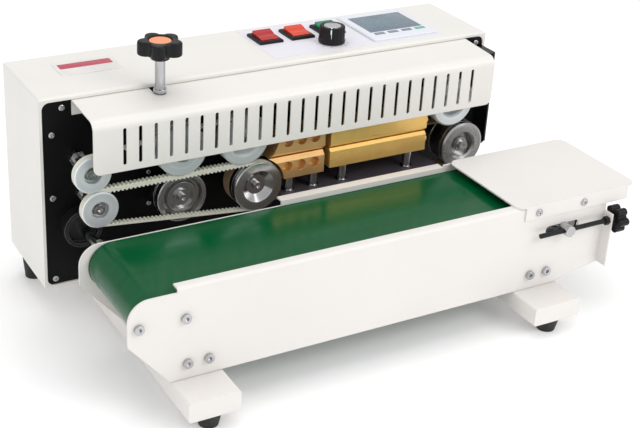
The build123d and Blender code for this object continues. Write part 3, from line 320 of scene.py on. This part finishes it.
EXTRA = {
    # The last colour on these black coats lightens their edges: partly edge wear, partly a painted edge highlight.
    "base_plate": powder_coat("base_plate_coat", colour(0.02, 0.02, 0.024), colour(0.2, 0.2, 0.21), 0.5, gloss=0.15),
    "shaft_bearings": powder_coat("blackened_steel", colour(0.07, 0.07, 0.075), colour(0.8, 0.8, 0.8), 0.35),
    "lower_heating_block": machined("gold_anodised", GOLD, 0.34, (3, 120, 120), 0.01 * MM, 0.7),
    "upper_heating_block": machined("gold_anodised_upper", GOLD, 0.34, (3, 120, 120), 0.01 * MM, 0.7),
    "lower_cooling_block": machined("tan_anodised", TAN, 0.36, (3, 120, 120), 0.01 * MM, 0.8),
    "upper_cooling_block": machined("tan_anodised_upper", TAN, 0.36, (3, 120, 120), 0.01 * MM, 0.8),
    "block_bracket": machined("grey_plate", colour(0.34, 0.32, 0.35), 0.5, (3, 160, 160), 0.02 * MM, 0.3),
    "lower_guide_pulley": turned("lower_guide_turned", ZINC, joint_place("lower_guide_turn"), 0.36, 0.5),
    "upper_guide_pulley": turned("upper_guide_turned", ZINC, joint_place("upper_guide_turn"), 0.36, 0.5),
    "lower_press_wheel": turned("lower_press_turned", STEEL, joint_place("lower_press_turn"), 0.14),
    "upper_press_wheel": turned("upper_press_turned", ZINC, joint_place("upper_press_turn"), 0.36, 0.5),
    "lower_emboss_wheel": turned("lower_emboss_turned", STEEL, joint_place("lower_emboss_turn"), 0.16),
    "upper_emboss_wheel": turned("upper_emboss_turned", ZINC, joint_place("upper_emboss_turn"), 0.36, 0.5),
    "lower_seal_pulley": turned("lower_seal_turned", STEEL, joint_place("lower_seal_turn"), 0.26),
    "upper_seal_pulley": turned("upper_seal_turned", ZINC, joint_place("upper_seal_turn"), 0.36, 0.5),
}
slot_of = {row["node"]: row["material_slot"] for row in frame["record"]["subparts"]}


def dress(obj, material):
    """Give an object one material."""
    obj.data.materials.clear()
    obj.data.materials.append(material)


for node_name, cad in nodes.items():
    dress(cad, EXTRA.get(node_name) or looks[slot_of[node_name]])


# --- mesh helpers ---------------------------------------------------------------------------------


def piece(name, bm, material, body, replaces=(), sharp=35.0):
    """Turn a bmesh in the row frame into a named piece that rides on a body."""
    bmesh.ops.remove_doubles(bm, verts=bm.verts, dist=1e-6)
    bmesh.ops.recalc_face_normals(bm, faces=bm.faces)
    for face in bm.faces:
        face.smooth = True
    for edge in bm.edges:
        edge.smooth = len(edge.link_faces) == 2 and edge.calc_face_angle(0.0) < math.radians(sharp)
    mesh = bpy.data.meshes.new(name)
    bm.to_mesh(mesh)
    bm.free()
    obj = bpy.data.objects.new(name, mesh)
    bpy.context.scene.collection.objects.link(obj)
    mesh.materials.append(material)
    if body:
        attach(obj, body)
    if replaces:
        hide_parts(*replaces)
    return obj


def ring_stack(rings, closed_ends=True):
    """Skin a list of rings, each with the same number of points."""
    bm = bmesh.new()
    rows = [[bm.verts.new(p) for p in ring] for ring in rings]
    count = len(rows[0])
    for low, high in zip(rows, rows[1:]):
        for i in range(count):
            j = (i + 1) % count
            bm.faces.new((low[i], low[j], high[j], high[i]))
    if closed_ends:
        bm.faces.new(list(reversed(rows[0])))
        bm.faces.new(rows[-1])
    return bm


def add_box(bm, x0, x1, y0, y1, z0, z1):
    """Add a box between two corners."""
    for corner in bmesh.ops.create_cube(bm, size=1.0)["verts"]:
        corner.co = Vector((corner.co.x * (x1 - x0) + (x0 + x1) / 2, corner.co.y * (y1 - y0) + (y0 + y1) / 2,
                            corner.co.z * (z1 - z0) + (z0 + z1) / 2))


def outline_ring(centre, radius_at, height, count, shrink=0.0):
    """Ring about a vertical axis whose radius depends on the angle."""
    ring = []
    for i in range(count):
        angle = 2 * math.pi * i / count
        reach = radius_at(angle) - shrink
        ring.append((centre[0] + reach * math.cos(angle), centre[1] + reach * math.sin(angle), height))
    return ring


def rounded_profile(low, high, radius, steps=5):
    """Height and inset pairs up a wall with a rounded top and bottom edge."""
    rows = []
    for i in range(steps + 1):
        turn = math.pi / 2 * i / steps
        rows.append((low + radius * (1 - math.sin(turn)), radius * (1 - math.cos(turn))))
    rows.reverse()
    top = []
    for i in range(steps + 1):
        turn = math.pi / 2 * i / steps
        top.append((high - radius * (1 - math.sin(turn)), radius * (1 - math.cos(turn))))
    return [(z, inset) for z, inset in rows] + top


def slab_ring(low, high, corner, z, count=6, inset=0.0):
    """Rounded rectangle in X and Y at height z."""
    points = []
    corner = max(corner - inset, 0.05 * MM)
    for turn, (x, y) in enumerate(((high[0], high[1]), (low[0], high[1]), (low[0], low[1]), (high[0], low[1]))):
        cx = x - (corner + inset) * (1 if x == high[0] else -1)
        cy = y - (corner + inset) * (1 if y == high[1] else -1)
        for i in range(count + 1):
            angle = math.pi / 2 * (turn + i / count)
            points.append((cx + corner * math.cos(angle), cy + corner * math.sin(angle), z))
    return points


# --- conveyor belt --------------------------------------------------------------------------------

BELT_ROUND = 0.45 * MM
BELT_SAG = 2.5 * MM
BELT_ARC_STEPS = 28
BELT_RUN_STEPS = 60


def conveyor_belt():
    """Endless belt: flat upper run, slightly slack lower run, rounded edges."""
    low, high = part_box("conveyor_belt")
    drive = joint_place("conveyor_drive_turn")
    tail = joint_place("conveyor_tail_turn")
    outer = (high.z - low.z) / 2
    inner = outer - 2 * MM
    stations = []
    for i in range(BELT_RUN_STEPS + 1):
        t = i / BELT_RUN_STEPS
        stations.append((drive.x + (tail.x - drive.x) * t, drive.z, 0.0, 1.0))
    for i in range(1, BELT_ARC_STEPS):
        turn = math.pi * i / BELT_ARC_STEPS
        stations.append((tail.x, tail.z, math.sin(turn), math.cos(turn)))
    for i in range(BELT_RUN_STEPS + 1):
        t = i / BELT_RUN_STEPS
        sag = BELT_SAG * (4 * t * (1 - t)) ** 2
        stations.append((tail.x + (drive.x - tail.x) * t, drive.z - sag, 0.0, -1.0))
    for i in range(1, BELT_ARC_STEPS):
        turn = math.pi * i / BELT_ARC_STEPS
        stations.append((drive.x, drive.z, -math.sin(turn), -math.cos(turn)))
    section_points = []
    for radius, sign, order in ((outer, 1, (1, -1)), (inner, -1, (-1, 1))):
        for side in order:
            edge_y = high.y if side > 0 else low.y
            turns = [math.pi / 2 * i / 3 for i in range(4)]
            if side * sign > 0:
                turns.reverse()
            for turn in turns:
                y = edge_y - side * BELT_ROUND * (1 - math.cos(turn))
                r = radius - sign * BELT_ROUND * (1 - math.sin(turn))
                section_points.append((y, r))
    rings = []
    for x, z, nx, nz in stations:
        rings.append([(x + nx * r, y, z + nz * r) for y, r in section_points])
    rings.append(rings[0])
    bm = ring_stack(rings, closed_ends=False)
    belt = piece("conveyor_belt_skin", bm, looks["conveyor_pvc"], None, ("conveyor_belt",), 50.0)
    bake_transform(belt)
    return belt


conveyor_belt()


# --- pressure knob ----------------------------------------------------------------------------------

KNOB_TURN = 25.0
LOBE_OUT = 18 * MM
LOBE_R = 8.5 * MM
KNOB_CORE = 19.5 * MM
VALLEY_SOFTNESS = 1.6 * MM
NECK_R = 11 * MM
NECK_H = 6 * MM
NECK_EDGE = 0.6 * MM
GRIP_ROUND = 2.6 * MM
GRIP_POINTS = 180
CAP_POINTS = 96
DISH_ROWS = ((14.6, 0.0), (13.9, 0.35), (13.6, 2.4))
CAP_ROWS = ((12.7, 2.3), (12.8, 1.7), (12.5, 1.15), (11.0, 0.95), (7.0, 0.8), (3.0, 0.75))


def constant(radius):
    """Outline with the same radius at every angle."""
    return lambda angle: radius


def lobed(angle):
    """Outline of the five-lobed grip, with softened valleys."""
    off = math.radians((math.degrees(angle) - KNOB_TURN + 36) % 72 - 36)
    inside = max(LOBE_R**2 - (LOBE_OUT * math.sin(off)) ** 2, 0.0)
    lobe = LOBE_OUT * math.cos(off) + math.sqrt(inside)
    return 0.5 * (lobe + KNOB_CORE + math.hypot(lobe - KNOB_CORE, VALLEY_SOFTNESS)) - 0.1 * MM


def pressure_knob():
    """Lobed grip with an orange cap let into its top."""
    low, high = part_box("pressure_knob")
    middle = joint_place("pressure_screw_turn")
    foot = low.z + NECK_H
    rings = [outline_ring(middle, constant(NECK_R - NECK_EDGE), low.z, GRIP_POINTS)]
    rings.append(outline_ring(middle, constant(NECK_R), low.z + NECK_EDGE, GRIP_POINTS))
    rings.append(outline_ring(middle, constant(NECK_R), foot, GRIP_POINTS))
    for z, inset in rounded_profile(foot, high.z, GRIP_ROUND, 6):
        rings.append(outline_ring(middle, lobed, z, GRIP_POINTS, inset))
    for radius, drop in DISH_ROWS:
        rings.append(outline_ring(middle, constant(radius * MM), high.z - drop * MM, GRIP_POINTS))
    piece("pressure_knob_grip", ring_stack(rings), looks["knob_plastic"], "pressure_adjuster",
          ("pressure_knob",))
    orange = moulded("orange_cap_plastic", colour(0.94, 0.60, 0.42), 0.32, 700.0, 0.02 * MM)
    rings = []
    for radius, drop in CAP_ROWS:
        rings.append(outline_ring(middle, constant(radius * MM), high.z - drop * MM, CAP_POINTS))
    piece("pressure_knob_cap", ring_stack(rings), orange, "pressure_adjuster")


pressure_knob()


# --- speed knob -------------------------------------------------------------------------------------

FLUTES = 18
POINTER_TURN = -125.0
SPEED_POINTS = 240
SPEED_H = 21 * MM
STEM_R = 3 * MM
SKIRT_H = 3.5 * MM
FLUTE_INSET = 0.9 * MM
FLUTE_DEPTH = 0.8 * MM
INSERT_R = 10.8 * MM
INSERT_DEPTH = 0.5 * MM
POINTER_W = 1.5 * MM


def speed_knob():
    """Fluted knob on a skirt and stem, with a bright insert and a white pointer line."""
    low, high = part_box("speed_knob")
    middle = joint_place("speed_knob_turn")
    radius = (high.x - low.x) / 2

    def fluted(angle):
        return radius - FLUTE_INSET - FLUTE_DEPTH * max(0.0, math.cos(FLUTES * angle)) ** 2

    def ring(outline, z, inset=0.0):
        return outline_ring(middle, outline, z, SPEED_POINTS, inset)

    foot = high.z - SPEED_H
    rings = [ring(constant(STEM_R), low.z), ring(constant(STEM_R), foot - 0.2 * MM)]
    for z, inset in rounded_profile(foot, foot + SKIRT_H, 0.6 * MM, 3):
        rings.append(ring(constant(radius), z, inset))
    for z, inset in rounded_profile(foot + SKIRT_H, high.z, 1.4 * MM, 4)[5:]:
        rings.append(ring(fluted, z, inset))
    rings.append(ring(constant(INSERT_R + 0.4 * MM), high.z))
    rings.append(ring(constant(INSERT_R + 0.2 * MM), high.z - INSERT_DEPTH))
    piece("speed_knob_grip", ring_stack(rings), looks["knob_plastic"], "speed_control",
          ("speed_knob",))
    insert = turned("knob_insert", colour(0.88, 0.88, 0.88), middle, 0.22)
    disc = []
    for reach, drop in ((INSERT_R, INSERT_DEPTH), (INSERT_R, 0.2 * MM), (INSERT_R - 0.4 * MM, 0.0)):
        disc.append(outline_ring(middle, constant(reach), high.z - drop, CAP_POINTS))
    piece("speed_knob_insert", ring_stack(disc), insert, "speed_control")
    line = bmesh.new()
    white = moulded("white_pointer_ink", colour(0.95, 0.95, 0.95), 0.45)
    turn = Matrix.Rotation(math.radians(POINTER_TURN), 4, "Z")
    wall = radius - FLUTE_INSET
    for x0, x1, z0, z1 in ((wall - 0.8 * MM, wall + 0.1 * MM, foot + 5 * MM, high.z - 1.2 * MM),
                           (11.4 * MM, wall - 1.2 * MM, high.z - 0.6 * MM, high.z + 0.05 * MM)):
        for corner in bmesh.ops.create_cube(line, size=1.0)["verts"]:
            spot = Vector((corner.co.x * (x1 - x0) + (x0 + x1) / 2, corner.co.y * POINTER_W, 0))
            spot.z = corner.co.z * (z1 - z0) + (z0 + z1) / 2
            corner.co = turn @ spot + Vector((middle.x, middle.y, 0))
    piece("speed_knob_pointer", line, white, "speed_control")


speed_knob()


# --- controller display -------------------------------------------------------------------------------


DIGITS = 4
DIGIT_SIZE = (8.5 * MM, 15.0 * MM, 1.5 * MM)
DIGIT_GAP = 4.5 * MM
DIGIT_MARGIN = (12 * MM, 14 * MM)
ROW_SCALES = (1.0, 0.72)
ROW_DROP = 20 * MM


def display():
    """Display glass with a lighter liquid-crystal field and blank seven-segment digits."""
    low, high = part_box("controller_window")
    rings = []
    for z, inset in ((low.z, 0.0), (high.z - 0.3 * MM, 0.0), (high.z - 0.05 * MM, 0.15 * MM), (high.z, 0.5 * MM)):
        rings.append(slab_ring(low, high, 2.5 * MM, z, 6, inset))
    piece("controller_glass", ring_stack(rings), looks["display_lens"], "machine",
          ("controller_window",))
    segment_ink = moulded("display_segments", colour(0.44, 0.58, 0.62), 0.3)
    bm = bmesh.new()
    top = high.z + 0.06 * MM
    for row, scale in enumerate(ROW_SCALES):
        for i in range(DIGITS):
            w, h, b = (size * scale for size in DIGIT_SIZE)
            x = low.x + DIGIT_MARGIN[0] + (w + DIGIT_GAP) * i
            y = high.y - DIGIT_MARGIN[1] - h - row * ROW_DROP
            bars = [(x, x + w, y, y + b), (x, x + w, y + h / 2 - b / 2, y + h / 2 + b / 2),
                    (x, x + w, y + h - b, y + h)]
            for side in (x, x + w - b):
                bars.append((side, side + b, y + b * 1.2, y + h / 2 - b * 0.7))
                bars.append((side, side + b, y + h / 2 + b * 0.7, y + h - b * 1.2))
            for x0, x1, y0, y1 in bars:
                add_box(bm, x0, x1, y0, y1, top - 0.09 * MM, top + 0.01 * MM)
    piece("controller_segments", bm, segment_ink, "machine")


display()


# --- name plate -------------------------------------------------------------------------------------


def name_plate():
    """Blank plate with a chamfered top edge and a muted red band along its back half."""
    low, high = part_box("name_plate")
    rings = []
    for z, inset in ((low.z, 0.0), (high.z - 0.25 * MM, 0.0), (high.z, 0.3 * MM)):
        rings.append(slab_ring(low, high, 3 * MM, z, 6, inset))
    piece("name_plate_blank", ring_stack(rings), looks["label_film"], "machine", ("name_plate",))
    red = moulded("red_label_ink", colour(0.72, 0.28, 0.35), 0.4)
    rings = []
    field_low = Vector((low.x + 5 * MM, low.y + 20 * MM, 0))
    field_high = Vector((high.x - 5 * MM, high.y - 6 * MM, 0))
    for z, inset in ((high.z - 0.1 * MM, 0.0), (high.z + 0.05 * MM, 0.0), (high.z + 0.1 * MM, 0.15 * MM)):
        rings.append(slab_ring(field_low, field_high, 1.5 * MM, z, 4, inset))
    piece("name_plate_field", ring_stack(rings), red, "machine")


name_plate()


# --- control overlay --------------------------------------------------------------------------------

FILM = 0.25 * MM
FILM_MARGIN = 5 * MM
SWITCH_HALF = 16.8 * MM
DIAL_TICKS = 11
DIAL_SWEEP = 300.0
DIAL_R = 20.5 * MM
TICK_SIZE = (3 * MM, 0.8 * MM, 0.06 * MM)


def control_overlay():
    """Thin printed film round the controls, with plain dial marks about the speed knob."""
    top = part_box("housing_shell")[1].z
    case_low, case_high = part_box("controller_case")
    bezel_low, bezel_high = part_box("switch_bodies")
    knob = joint_place("speed_knob_turn")
    gap = 0.2 * MM
    holes = [(case_low.x - gap, case_high.x + gap, case_low.y - gap, case_high.y + gap)]
    for name in ("power_switch_rock", "heat_switch_rock", "fan_switch_rock"):
        x = joint_place(name).x
        holes.append((x - SWITCH_HALF, x + SWITCH_HALF, bezel_low.y - gap, bezel_high.y + gap))
    holes.append((knob.x - 4 * MM, knob.x + 4 * MM, knob.y - 4 * MM, knob.y + 4 * MM))
    left, right = bezel_low.x - FILM_MARGIN, case_high.x + FILM_MARGIN
    near, far = case_low.y - FILM_MARGIN, case_high.y + FILM_MARGIN
    xs = sorted({left, right, *(x for hole in holes for x in hole[:2])})
    ys = sorted({near, far, *(y for hole in holes for y in hole[2:])})
    bm = bmesh.new()
    corners = {}

    def corner(i, j):
        if (i, j) not in corners:
            corners[i, j] = bm.verts.new((xs[i], ys[j], top + FILM))
        return corners[i, j]

    for i in range(len(xs) - 1):
        for j in range(len(ys) - 1):
            x, y = (xs[i] + xs[i + 1]) / 2, (ys[j] + ys[j + 1]) / 2
            if not any(hole[0] < x < hole[1] and hole[2] < y < hole[3] for hole in holes):
                bm.faces.new((corner(i, j), corner(i + 1, j), corner(i + 1, j + 1), corner(i, j + 1)))
    sides = bmesh.ops.extrude_face_region(bm, geom=list(bm.faces))["geom"]
    for element in sides:
        if isinstance(element, bmesh.types.BMVert):
            element.co.z = top + 0.02 * MM
    film = moulded("control_film", colour(0.88, 0.87, 0.90), 0.45, 1200.0, 0.01 * MM)
    piece("control_overlay", bm, film, "machine")
    marks = bmesh.new()
    for i in range(DIAL_TICKS):
        turn = math.radians(90 - DIAL_SWEEP / 2 + DIAL_SWEEP * i / (DIAL_TICKS - 1))
        along = Vector((math.cos(turn), math.sin(turn), 0))
        across = Vector((-along.y, along.x, 0))
        for vertex in bmesh.ops.create_cube(marks, size=1.0)["verts"]:
            out = vertex.co.x * TICK_SIZE[0] + DIAL_R
            side = vertex.co.y * TICK_SIZE[1]
            lift = vertex.co.z * TICK_SIZE[2] + top + FILM + TICK_SIZE[2] / 2
            vertex.co = along * out + across * side + Vector((knob.x, knob.y, lift))
    ink = moulded("dial_ink", colour(0.36, 0.37, 0.42), 0.5)
    piece("dial_marks", marks, ink, "machine")


control_overlay()


# --- floor, light, camera ----------------------------------------------------------------------------


def floor():
    bm = bmesh.new()
    bmesh.ops.create_grid(bm, x_segments=4, y_segments=4, size=14.0)
    material, tree = start("studio_floor", Roughness=0.65, Emission_Color=(1, 1, 1, 1), Emission_Strength=0.1)
    cloud = noise(tree, object_coords(tree), 1.3, 3.0)
    near = colour(0.998, 0.998, 0.998)
    shade(tree, "Base Color", blended(tree, cloud, near, colour(0.99, 0.99, 0.99)))
    mesh = bpy.data.meshes.new("studio_floor")
    bm.to_mesh(mesh)
    bm.free()
    obj = bpy.data.objects.new("studio_floor", mesh)
    mesh.materials.append(material)
    bpy.context.scene.collection.objects.link(obj)


def softbox(name, place, target, size, power):
    """Rectangular area light pointed at a target."""
    light = bpy.data.lights.new(name, "AREA")
    light.shape = "RECTANGLE"
    light.size, light.size_y = size
    light.energy = power
    obj = bpy.data.objects.new(name, light)
    obj.location = place
    obj.rotation_euler = (Vector(target) - Vector(place)).to_track_quat("-Z", "Y").to_euler()
    bpy.context.scene.collection.objects.link(obj)


def world(strength):
    made = bpy.data.worlds.new("studio")
    made.use_nodes = True
    background = made.node_tree.nodes["Background"]
    background.inputs["Color"].default_value = (1, 1, 1, 1)
    background.inputs["Strength"].default_value = strength
    bpy.context.scene.world = made


CAMERA_PLACE = (-0.7620, -1.2117, 0.8428)
CAMERA_HEADING = 29.02
CAMERA_PITCH = -25.30
CAMERA_ROLL = 2.44
CAMERA_LENS = 73.74
CAMERA_SHIFT = (0.0829, -0.0731)


def camera():
    heading, pitch, roll = (math.radians(a) for a in (CAMERA_HEADING, CAMERA_PITCH, CAMERA_ROLL))
    forward = Vector((math.sin(heading) * math.cos(pitch), math.cos(heading) * math.cos(pitch), math.sin(pitch)))
    right = Vector((math.cos(heading), -math.sin(heading), 0.0))
    up = right.cross(forward)
    across = right * math.cos(roll) + up * math.sin(roll)
    above = up * math.cos(roll) - right * math.sin(roll)
    data = bpy.data.cameras.new("camera")
    data.lens = CAMERA_LENS
    data.sensor_width = 36.0
    data.shift_x, data.shift_y = CAMERA_SHIFT
    obj = bpy.data.objects.new("camera", data)
    turn = Matrix((across, above, -forward)).transposed()
    obj.matrix_world = Matrix.Translation(CAMERA_PLACE) @ turn.to_4x4()
    bpy.context.scene.collection.objects.link(obj)
    bpy.context.scene.camera = obj


floor()
world(0.72)
softbox("key_light", (1.2, -2.0, 1.9), (0, 0, 0.15), (1.6, 1.2), 25)
softbox("top_light", (-0.2, 0.3, 2.4), (0, 0, 0.1), (2.2, 1.6), 18)
softbox("left_light", (-2.2, -0.9, 1.0), (0, 0, 0.15), (1.0, 1.2), 5)
bpy.context.scene.view_settings.view_transform = "Standard"
camera()
